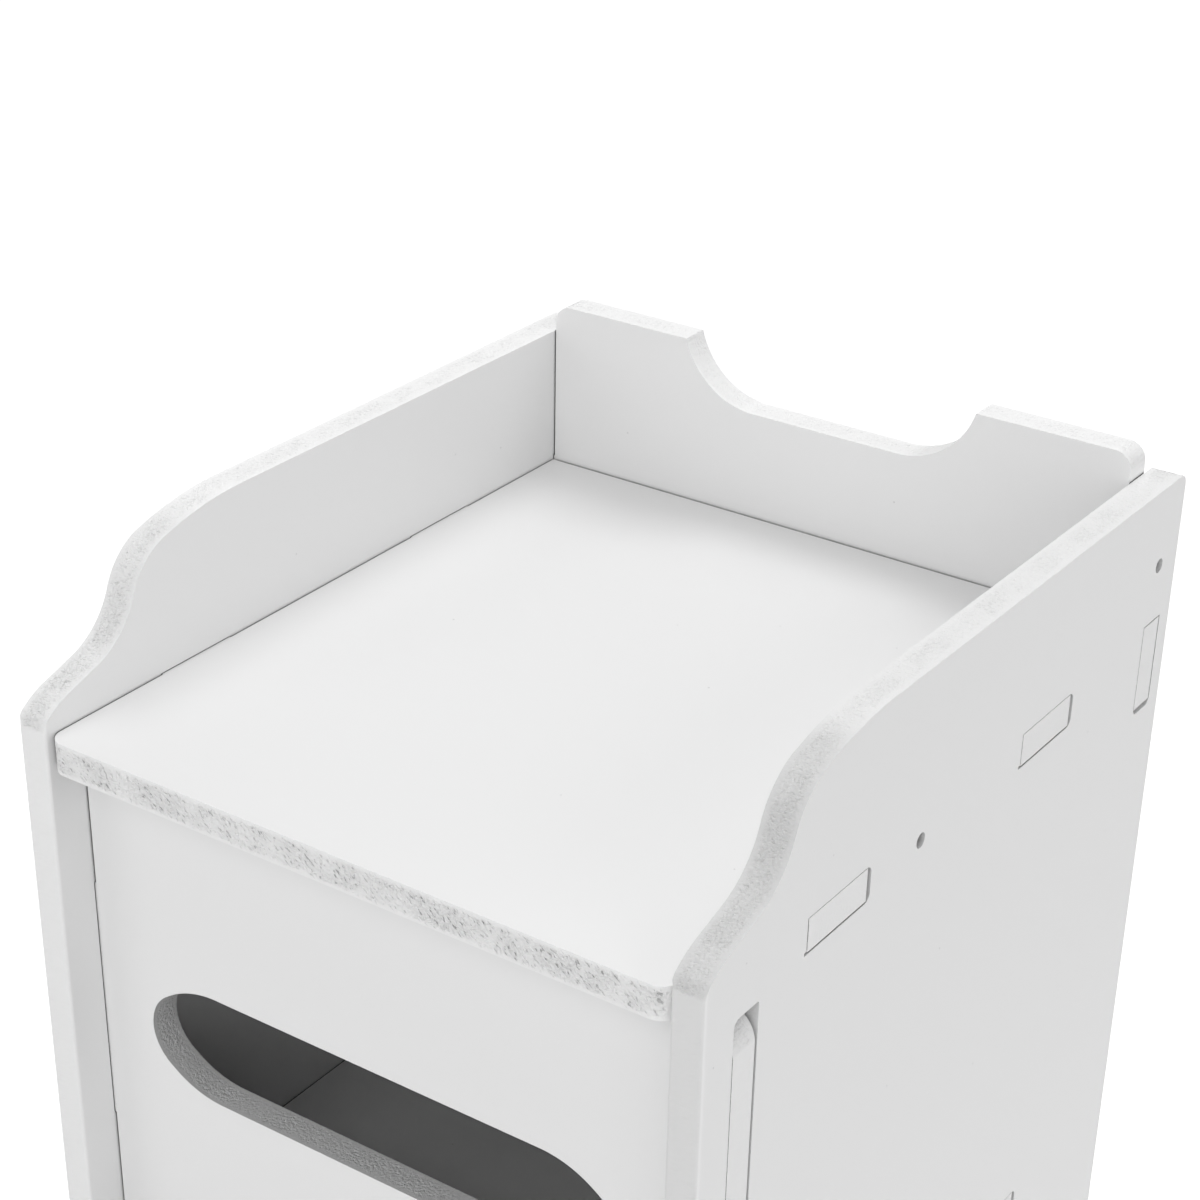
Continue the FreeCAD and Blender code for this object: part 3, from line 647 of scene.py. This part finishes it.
# %% Dress the boards
# A board's outline is seen along the first axis, and its skins face the second. The door's is seen from its
# ends, which show its round pivot edge.
X, Y, Z = 0, 1, 2
made = [board("left_side_panel", X, X, left_board, side_ease),
        board("right_side_panel", X, X, right_board_painted_shade, side_ease),
        board("back_panel", Y, Y, front_board),
        board("toe_kick", Y, Y, front_board),
        board("door", Z, Y, front_board),
        board("dispenser_panel", Y, Y, front_board, hole_material=oval_wall_painted_shade)]
made += [board(name, Z, Z, shelf_board, shelf_ease)
         for name in ("top_shelf", "bay_floor", "middle_shelf", "inner_shelf", "bottom_shelf")]
for piece in made:
    print(piece.name, len(piece.data.vertices), "points,", len(piece.data.polygons), "faces")

# %% [markdown]
# ## The small parts of the door
#
# The door hangs on two steel pins that turn in flanged nylon bushes, has a round moulded knob, and is held shut
# by a magnetic catch. Their materials are simple beside the board's, but each gets what the eye expects of it:
# drawn steel has fine streaks, zinc plate is mottled, nylon is milky and soft, ferrite is a dull black ceramic.
# Metal keeps its own look mainly through roughness that varies a little from place to place.

# %% Materials of the small parts
METAL_RELIEF_MM = 0.01


def metal(name, colour, rough_low, rough_high, grain_mm, stretch):
    """Bare or plated metal: roughness runs between two values with a noise of grain_mm, stretched per axis."""
    material, tree, output = new_material(name)
    place = add_node(tree, "ShaderNodeTexCoord")
    lines = add_node(tree, "ShaderNodeMapping", inputs={"Vector": place.outputs["Object"], "Scale": stretch})
    noise = add_node(tree, "ShaderNodeTexNoise",
                     inputs={"Vector": lines, "Scale": 1 / (grain_mm * MM), "Detail": 4.0})
    rough = add_node(tree, "ShaderNodeMapRange",
                     inputs={"Value": noise, "From Min": 0.3, "From Max": 0.7, "To Min": rough_low,
                             "To Max": rough_high})
    relief = add_node(tree, "ShaderNodeBump",
                      inputs={"Strength": 0.4, "Distance": METAL_RELIEF_MM * MM, "Height": noise})
    shader = add_node(tree, "ShaderNodeBsdfPrincipled",
                      inputs={"Base Color": linear(colour), "Metallic": 1.0, "Roughness": rough, "Normal": relief})
    tree.links.new(shader.outputs["BSDF"], output.inputs["Surface"])
    return material


def moulded(name, light, dark, mottle_mm, rough, ior, bump_mm):
    """Moulded or sintered material: two close colours mixed by a slow noise, and a fine bump of the same noise."""
    material, tree, output = new_material(name)
    place = add_node(tree, "ShaderNodeTexCoord")
    noise = add_node(tree, "ShaderNodeTexNoise",
                     inputs={"Vector": place.outputs["Object"], "Scale": 1 / (mottle_mm * MM), "Detail": 3.0})
    colour = add_node(tree, "ShaderNodeMix", {"data_type": "RGBA"},
                      {"Factor": noise, "A": linear(light), "B": linear(dark)}).outputs["Result"]
    relief = add_node(tree, "ShaderNodeBump", inputs={"Strength": 0.5, "Distance": bump_mm * MM, "Height": noise})
    shader = add_node(tree, "ShaderNodeBsdfPrincipled",
                      inputs={"Base Color": colour, "Roughness": rough, "IOR": ior, "Normal": relief})
    tree.links.new(shader.outputs["BSDF"], output.inputs["Surface"])
    return material


# Drawn steel: streaks along the pin, which stands upright, left by the die.
drawn_steel = metal("drawn_steel_pin", "#C4C6C8", 0.22, 0.38, 0.25, (1, 1, 0.04))
# Zinc plate on pressed sheet and on screws: a soft grey with a faint crystalline mottle.
zinc_plate = metal("zinc_plated_steel", "#BEC1C4", 0.28, 0.5, 0.9, (1, 1, 1))
# Natural nylon: milky, a little warm and waxy.
nylon = moulded("natural_nylon_bush", "#EDEBE2", "#E2DFD4", 3.0, 0.45, 1.53, 0.01)
# Injection moulded ABS from a polished tool: the knob is the glossiest thing on the cabinet.
abs_knob = moulded("moulded_abs_knob", "#F2F2F0", "#ECECEA", 6.0, 0.16, 1.54, 0.004)
# Moulded polypropylene of the catch: a greyer white with a fine spark-eroded texture.
catch_shell = moulded("moulded_catch_shell", "#E9E9E6", "#DEDEDA", 0.35, 0.5, 1.49, 0.02)
# Sintered ferrite: a dull black ceramic with a fine grain.
ferrite = moulded("sintered_ferrite_magnet", "#2B2A2A", "#1D1C1C", 0.25, 0.62, 1.9, 0.03)
# Closed cell rubber foam: nearly black, matt, with pores of a third of a millimetre.
foam_rubber = moulded("foam_rubber_pad", "#2A2A2B", "#161617", 0.35, 0.9, 1.45, 0.12)
small = (drawn_steel, zinc_plate, nylon, abs_knob, catch_shell, ferrite, foam_rubber)
print("small parts:", [material.name for material in small])

# %% [markdown]
# ## Turned parts
#
# The knob, the pins and the bushes are all turned: one profile, given as pairs of radius and height, swept round
# an axis. A soft profile is drawn as a few corners which are then cut again and again, a quarter of the way in
# from each end of each side, which leaves a smooth curve that never leaves the hull of the corners. The knob lies
# below the picture, so it has the usual shape: a foot, a waist and a flat mushroom head.

# %% Turned surfaces
TURN_STEPS = 72
SHARP_EDGE = math.radians(32)
MERGE_DISTANCE = 1e-7


def cut_corners(profile, times):
    """Each side of an open profile keeps its middle half, so every corner becomes two; the two ends stay."""
    for _ in range(times):
        a, b = profile[:-1], profile[1:]
        mixed = np.stack([a * 0.75 + b * 0.25, a * 0.25 + b * 0.75], axis=1).reshape(-1, 2)
        profile = np.concatenate([profile[:1], mixed, profile[-1:]])
    return profile


def frame_along(direction):
    """Two directions square to the given one, then that one, as the rows of a turning matrix."""
    w = np.array(direction, float)
    u = np.array([0.0, 0.0, 1.0]) if abs(w[2]) < 0.5 else np.array([1.0, 0.0, 0.0])
    return np.stack([u, np.cross(w, u), w])


def turned_mesh(profile, start, direction):
    """Points r cos a, r sin a, h for each pair of the profile and each angle. A radius of zero makes a pole."""
    u, v, w = frame_along(direction)
    angle = np.linspace(0, 2 * math.pi, TURN_STEPS, endpoint=False)
    r, h = profile[:, :1, None], profile[:, 1:, None]
    points = start + r * (np.cos(angle)[:, None] * u + np.sin(angle)[:, None] * v) + h * w
    return points.reshape(-1, 3), quads_between(len(profile), TURN_STEPS, 0)


def piece_from(node_name, meshes, material):
    """A node's piece from pairs of points and faces: joined, doubles merged, normals outwards, sharp edges kept."""
    first = np.cumsum([0] + [len(points) for points, _ in meshes])
    mesh = bpy.data.meshes.new(node_name + "_turned")
    mesh.from_pydata(np.concatenate([points for points, _ in meshes]).tolist(), [],
                     np.concatenate([faces + base for (_, faces), base in zip(meshes, first)]).tolist())
    work = bmesh.new()
    work.from_mesh(mesh)
    bmesh.ops.remove_doubles(work, verts=work.verts, dist=MERGE_DISTANCE)
    bmesh.ops.recalc_face_normals(work, faces=work.faces)
    work.to_mesh(mesh)
    work.free()
    mesh.materials.append(material)
    mesh.shade_smooth()
    mesh.set_sharp_from_angle(angle=SHARP_EDGE)
    return dress(add_object(node_name + "_turned", mesh), node_name)


def box_of(node_name):
    """Lowest and highest corner of a solid and its middle, as arrays in metres."""
    low, high = (np.array(corner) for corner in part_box(node_name))
    return low, high, (low + high) / 2


# %% Knob, pins and bushes
KNOB_INSET_MM = 0.02
low, high, middle = box_of("door_knob")
reach, widest = high[1] - low[1], (high[0] - low[0]) / 2
# The knob's corners as shares of its greatest radius and of its reach, from the door outwards.
corners = np.array([(0, 0), (0.68, 0), (0.68, 0.04), (0.5, 0.12), (0.44, 0.26), (0.56, 0.5), (1.02, 0.62),
                    (1.02, 0.9), (0.86, 0.985), (0.5, 1.0), (0, 1.0)]) * (widest, reach)
profile = cut_corners(corners, 3)
profile[:, 0] = np.minimum(profile[:, 0], widest - KNOB_INSET_MM * MM)
piece_from("door_knob", [turned_mesh(profile, (middle[0], high[1], middle[2]), (0, -1, 0))], abs_knob)
print("knob", round(2 * widest / MM, 1), "mm across,", round(reach / MM, 1), "mm proud")

PIN_CHAMFER_MM = 0.4
for name in ("upper_pivot_pin", "lower_pivot_pin"):
    low, high, middle = box_of(name)
    radius, length, bevel = (high[1] - low[1]) / 2, high[2] - low[2], PIN_CHAMFER_MM * MM
    profile = np.array([(0, 0), (radius - bevel, 0), (radius, bevel), (radius, length - bevel),
                        (radius - bevel, length), (0, length)])
    piece_from(name, [turned_mesh(profile, (middle[0], middle[1], low[2]), (0, 0, 1))], drawn_steel)

FLANGE_MM = 0.8
FLANGE_OVERHANG_MM = 1.0
FLANGE_ROUND_MM = 0.25
BORE_PLAY_MM = 0.05
for name, into_shelf in (("upper_pivot_bush", 1), ("lower_pivot_bush", -1)):
    low, high, middle = box_of(name)
    pin_low, pin_high, _ = box_of(name.replace("bush", "pin"))
    bore = (pin_high[1] - pin_low[1]) / 2 + BORE_PLAY_MM * MM
    flange, length, edge, lip = (high[1] - low[1]) / 2, high[2] - low[2], FLANGE_ROUND_MM * MM, FLANGE_MM * MM
    body = flange - FLANGE_OVERHANG_MM * MM
    profile = np.array([(bore, edge), (bore + edge, 0), (flange - edge, 0), (flange, edge), (flange, lip),
                        (body, lip), (body, length - edge), (body - edge, length), (bore, length), (bore, edge)])
    start = (middle[0], middle[1], low[2] if into_shelf > 0 else high[2])
    piece_from(name, [turned_mesh(profile, start, (0, 0, into_shelf))], nylon)
print("two pins and two bushes turned")

# %% [markdown]
# ## Screws
#
# A screw head is a turned dome with a cross pressed into it. Seen as a height over a disc it is one function of
# two parameters: the dome, less a cross whose arms fade out towards the rim. So the head's top is a grid of rings
# and angles, and only its height differs from a plain turned part. A sunk head is flat and tapers to the shank.

# %% Screw surfaces
HEAD_RINGS = 28
HEAD_STEPS = 96
# Shares of the head's height, or of half its radius where it is sunk.
RIM_HEIGHT_SHARE = 0.45
RECESS_DEPTH_SHARE = 0.62
# Shares of the head's radius: the arms of the cross and the slopes of their sides and ends.
ARM_HALF_WIDTH_SHARE = 0.13
ARM_LENGTH_SHARE = 0.62
ARM_SIDE_SHARE = 0.05
ARM_END_SHARE = 0.12
# Where the tip starts along the shank, and the radius where it ends.
TIP_START_SHARE, TIP_RADIUS_SHARE = 0.8, 0.1


def screw_mesh(seat, direction, shank_radius, shank_length, head_radius, head_height, sunk):
    """Head over the seat against direction, shank along it. Height is the dome, rim + (1 - rim) (1 - r^4), less
    the recess, whose arms are where the smaller of x and y is near zero."""
    u, v, w = frame_along(direction)
    radius = np.linspace(0, 1, HEAD_RINGS)[:, None]
    angle = np.linspace(0, 2 * math.pi, HEAD_STEPS, endpoint=False)
    x, y = radius * np.cos(angle), radius * np.sin(angle)
    near, far = np.minimum(np.abs(x), np.abs(y)), np.maximum(np.abs(x), np.abs(y))
    arm = (np.clip((ARM_HALF_WIDTH_SHARE - near) / ARM_SIDE_SHARE, 0, 1)
           * np.clip((ARM_LENGTH_SHARE - far) / ARM_END_SHARE, 0, 1))
    if sunk:
        dome, depth, cone = 0 * radius, RECESS_DEPTH_SHARE * (head_radius * 0.5), head_radius - shank_radius
    else:
        dome = head_height * (RIM_HEIGHT_SHARE + (1 - RIM_HEIGHT_SHARE) * (1 - radius ** 4))
        depth, cone = RECESS_DEPTH_SHARE * head_height, 0.0
    top = np.stack([x * head_radius, y * head_radius, dome - arm * depth], axis=-1)
    under = np.array([(head_radius, 0.0), (shank_radius, -cone), (shank_radius, -shank_length * TIP_START_SHARE),
                      (shank_radius * TIP_RADIUS_SHARE, -shank_length), (0, -shank_length)])
    r, h = under[..., None].transpose(1, 0, 2)
    below = np.stack([r * np.cos(angle), r * np.sin(angle), h + 0 * angle], axis=-1)
    local = np.concatenate([top, below])
    points = np.array(seat) + local[..., :1] * u + local[..., 1:2] * v - local[..., 2:] * w
    return points.reshape(-1, 3), quads_between(len(local), HEAD_STEPS, 0)


# %% Four screws
HEAD_TO_SHANK = 1.9
STRIKE_SHANK_MM = 1.5
CATCH_EAR_MM = 2.0
door_rear = box_of("door")[1][1]
low, high, middle = box_of("knob_screw")
head = (high[0] - low[0]) / 2
knob_screw = screw_mesh((middle[0], door_rear, middle[2]), (0, -1, 0), head / HEAD_TO_SHANK, door_rear - low[1],
                        head, high[1] - door_rear, False)
piece_from("knob_screw", [knob_screw], zinc_plate)

low, high, middle = box_of("strike_screw")
head = (high[0] - low[0]) / 2
strike_screw = screw_mesh((middle[0], high[1], middle[2]), (0, -1, 0), STRIKE_SHANK_MM * MM, high[1] - low[1],
                          head, 0, True)
piece_from("strike_screw", [strike_screw], zinc_plate)

low, high, middle = box_of("catch_screws")
head = (high[1] - low[1]) / 2
seat_height = box_of("catch_case")[1][2] - CATCH_EAR_MM * MM
pair = [screw_mesh((x, middle[1], seat_height), (0, 0, 1), head / HEAD_TO_SHANK, high[2] - seat_height, head,
                   seat_height - low[2], False) for x in (low[0] + head, high[0] - head)]
piece_from("catch_screws", pair, zinc_plate)
print("four screws with crossed heads")

# %% [markdown]
# ## Catch, strike plate and feet
#
# These are small blocks and plates. Their solids are right as they are but for their knife edges, so each gets a
# copy with its triangles joined and a Bevel modifier of a few tenths of a millimetre. The two pole plates and the
# magnet between them sit in the catch's mouth; the strike plate on the door closes their circuit.

# %% Blocks with rounded edges
FLAT_TURN = math.radians(1)
BEVEL_TURN = math.radians(40)
BEVEL_SEGMENTS = 3


def eased_block(node_name, width_mm, material):
    """Copy of a solid with its points merged and its coplanar triangles joined, edges rounded by a Bevel."""
    mesh = nodes[node_name].data.copy()
    work = bmesh.new()
    work.from_mesh(mesh)
    bmesh.ops.remove_doubles(work, verts=work.verts, dist=SAME_POINT)
    bmesh.ops.dissolve_limit(work, angle_limit=FLAT_TURN, verts=work.verts, edges=work.edges)
    work.to_mesh(mesh)
    work.free()
    mesh.materials.clear()
    mesh.materials.append(material)
    mesh.shade_smooth()
    piece = add_object(node_name + "_eased", mesh)
    bevel = piece.modifiers.new("rounded_edges", "BEVEL")
    bevel.width = width_mm * MM
    bevel.segments = BEVEL_SEGMENTS
    bevel.limit_method = "ANGLE"
    bevel.angle_limit = BEVEL_TURN
    bevel.harden_normals = True
    return dress(piece, node_name)


feet = [name for name in nodes if name.endswith("foot_pad")]
for name, width_mm, material in (("catch_case", 0.4, catch_shell), ("catch_magnet", 0.15, ferrite),
                                 ("catch_pole_plates", 0.12, zinc_plate), ("strike_plate", 0.2, zinc_plate),
                                 *((foot, 0.5, foam_rubber) for foot in feet)):
    eased_block(name, width_mm, material)
print("catch, strike plate and", len(feet), "foot pads dressed")

# %% [markdown]
# ## Stage, light and camera
#
# The floor is a plain pale plane. A camera ray that meets it sees a little light of its own on top of what falls
# on it, so that it reaches white and still keeps the cabinet's shadow. The world is white for the camera and for
# reflections, and a plain soft light for everything else.

# %% Floor and world
FLOOR_HALF_SIZE = 40.0
FLOOR_PAINT = "#F2F2F2"
FLOOR_GLOW = 0.8
WORLD_LIGHT = 0.272
WHITE = (1, 1, 1, 1)
MAXIMUM = {"operation": "MAXIMUM"}


def seen_directly(tree):
    """One for rays of the camera, for what a glossy face shows and for what is seen through glass, else zero."""
    rays = add_node(tree, "ShaderNodeLightPath")
    seen = add_node(tree, "ShaderNodeMath", MAXIMUM,
                    {0: rays.outputs["Is Camera Ray"], 1: rays.outputs["Is Glossy Ray"]})
    return add_node(tree, "ShaderNodeMath", MAXIMUM, {0: seen, 1: rays.outputs["Is Transmission Ray"]})


corners = np.array([[-1, -1, 0], [1, -1, 0], [1, 1, 0], [-1, 1, 0]]) * FLOOR_HALF_SIZE
ground = bpy.data.meshes.new("floor")
ground.from_pydata(corners.tolist(), [], [[0, 1, 2, 3]])
floor = add_object("floor", ground)
floor_material, tree, output = new_material("studio_floor")
glow = add_node(tree, "ShaderNodeMath", MULTIPLY, {0: seen_directly(tree), 1: FLOOR_GLOW})
paint = add_node(tree, "ShaderNodeBsdfDiffuse", inputs={"Color": linear(FLOOR_PAINT)})
lift = add_node(tree, "ShaderNodeEmission", inputs={"Color": WHITE, "Strength": glow})
both = add_node(tree, "ShaderNodeAddShader", inputs={0: paint, 1: lift})
tree.links.new(both.outputs[0], output.inputs["Surface"])
floor.data.materials.append(floor_material)

world = bpy.data.worlds.new("studio")
bpy.context.scene.world = world
world.use_nodes = True
tree = world.node_tree
tree.nodes.clear()
strength = add_node(tree, "ShaderNodeMapRange",
                    inputs={"Value": seen_directly(tree), "To Min": WORLD_LIGHT, "To Max": 1.0})
sky = add_node(tree, "ShaderNodeBackground", inputs={"Color": WHITE, "Strength": strength})
add_node(tree, "ShaderNodeOutputWorld", inputs={"Surface": sky})
bpy.context.scene.view_settings.view_transform = "Standard"
print("floor and world ready")

# %% Lamps
low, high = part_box("top_shelf")
tray_middle = Vector(((low.x + high.x) / 2, (low.y + high.y) / 2, high.z))
# Name, offset from the tray's middle and side in metres, and power in watts.
LAMPS = (("overhead_softbox", (0.2, 0.15, 1.9), 1.6, 4.8),
         ("rear_softbox", (-0.3, 0.8, 1.5), 0.8, 9.0),
         ("rear_strip", (0.1, 0.8, 0.75), 0.5, 1.0),
         ("right_softbox", (1.7, 0.2, 0.5), 1.3, 6.6),
         ("front_right_softbox", (1.3, -1.1, 0.4), 1.0, 3.0),
         ("near_left_softbox", (-0.55, -0.6, 0.3), 0.5, 0.8),
         ("low_front_softbox", (0.3, -1.7, -0.2), 1.0, 2.2),
         ("high_front_softbox", (0.3, -1.5, 1.0), 1.0, 9.2))
for name, offset, size, power in LAMPS:
    light = bpy.data.lights.new(name, "AREA")
    light.shape = "SQUARE"
    light.size = size
    light.energy = power
    lamp = add_object(name, light)
    lamp.location = tray_middle + Vector(offset)
    lamp.rotation_euler = Vector(offset).to_track_quat("Z", "Y").to_euler()
print(len(LAMPS), "soft lamps face the tray")

# %% Camera
CAMERA_AZIMUTH_DEG = 35.48
CAMERA_ELEVATION_DEG = 29.84
CAMERA_ROLL = 0.0087
CAMERA_DISTANCE = 583.8 * MM
CAMERA_FOCAL_MM = 80.89
CAMERA_SENSOR_MM = 36.0
PHOTO_PIXELS = 1200
PRINCIPAL_PIXEL = (548.47, 759.70)
AIM_RIGHT = 12.06 * MM
AIM_BACK = 57.96 * MM

azimuth = math.radians(CAMERA_AZIMUTH_DEG)
elevation = math.radians(CAMERA_ELEVATION_DEG)
backward = Vector((math.sin(azimuth) * math.cos(elevation), -math.cos(azimuth) * math.cos(elevation),
                   math.sin(elevation)))
level_right = Vector((math.cos(azimuth), math.sin(azimuth), 0))
level_up = backward.cross(level_right)
right = level_right * math.cos(CAMERA_ROLL) + level_up * math.sin(CAMERA_ROLL)
up = level_up * math.cos(CAMERA_ROLL) - level_right * math.sin(CAMERA_ROLL)
aim = Vector((AIM_RIGHT, low.y + AIM_BACK, high.z))
camera_data = bpy.data.cameras.new("camera")
camera_data.sensor_width = CAMERA_SENSOR_MM
camera_data.lens = CAMERA_FOCAL_MM
camera_data.shift_x = 0.5 - PRINCIPAL_PIXEL[0] / PHOTO_PIXELS
camera_data.shift_y = PRINCIPAL_PIXEL[1] / PHOTO_PIXELS - 0.5
camera = add_object("camera", camera_data)
turn = Matrix((right, up, backward)).transposed().to_4x4()
camera.matrix_world = Matrix.Translation(aim + backward * CAMERA_DISTANCE) @ turn
bpy.context.scene.camera = camera
print("camera at", [round(c, 4) for c in camera.matrix_world.translation])
